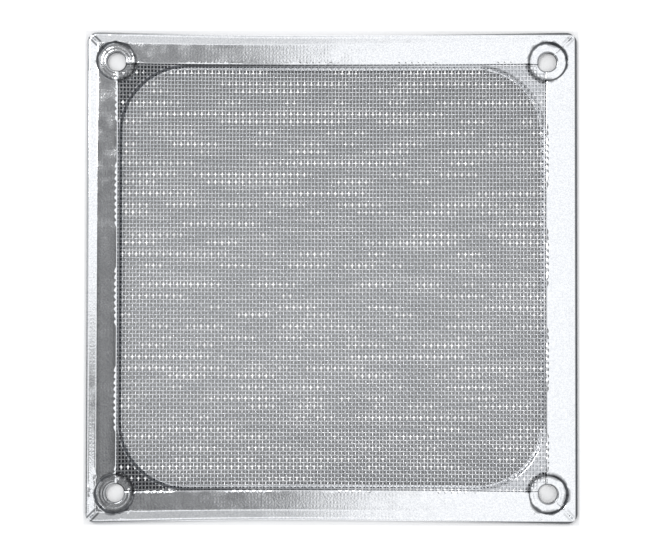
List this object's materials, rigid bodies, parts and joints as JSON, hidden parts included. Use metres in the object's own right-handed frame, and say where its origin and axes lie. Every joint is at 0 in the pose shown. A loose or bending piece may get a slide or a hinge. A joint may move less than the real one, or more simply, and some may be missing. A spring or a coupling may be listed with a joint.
{
  "type": "fan guard",
  "caption": "Square aluminium guard for a computer or equipment fan: woven wire mesh held in a folded sheet frame with a pressed screw seat in each corner.",
  "frame": {"origin": "centre of the rear face, in the plane that seats on the fan", "axes": "+Z out of the front face, on which the folded flaps and the pressed screw seats are; X and Y along the sides, with the warp wires along Y"},
  "size_m": [0.1194, 0.1194, 0.0025],
  "materials": {
    "frame_sheet": "bright rolled sheet",
    "mesh_wire": "drawn wire"
  },
  "bodies": {
    "root": {"frame": "frame_sheet", "warp_wires": "mesh_wire", "weft_wires": "mesh_wire"}
  },
  "joints": []
}
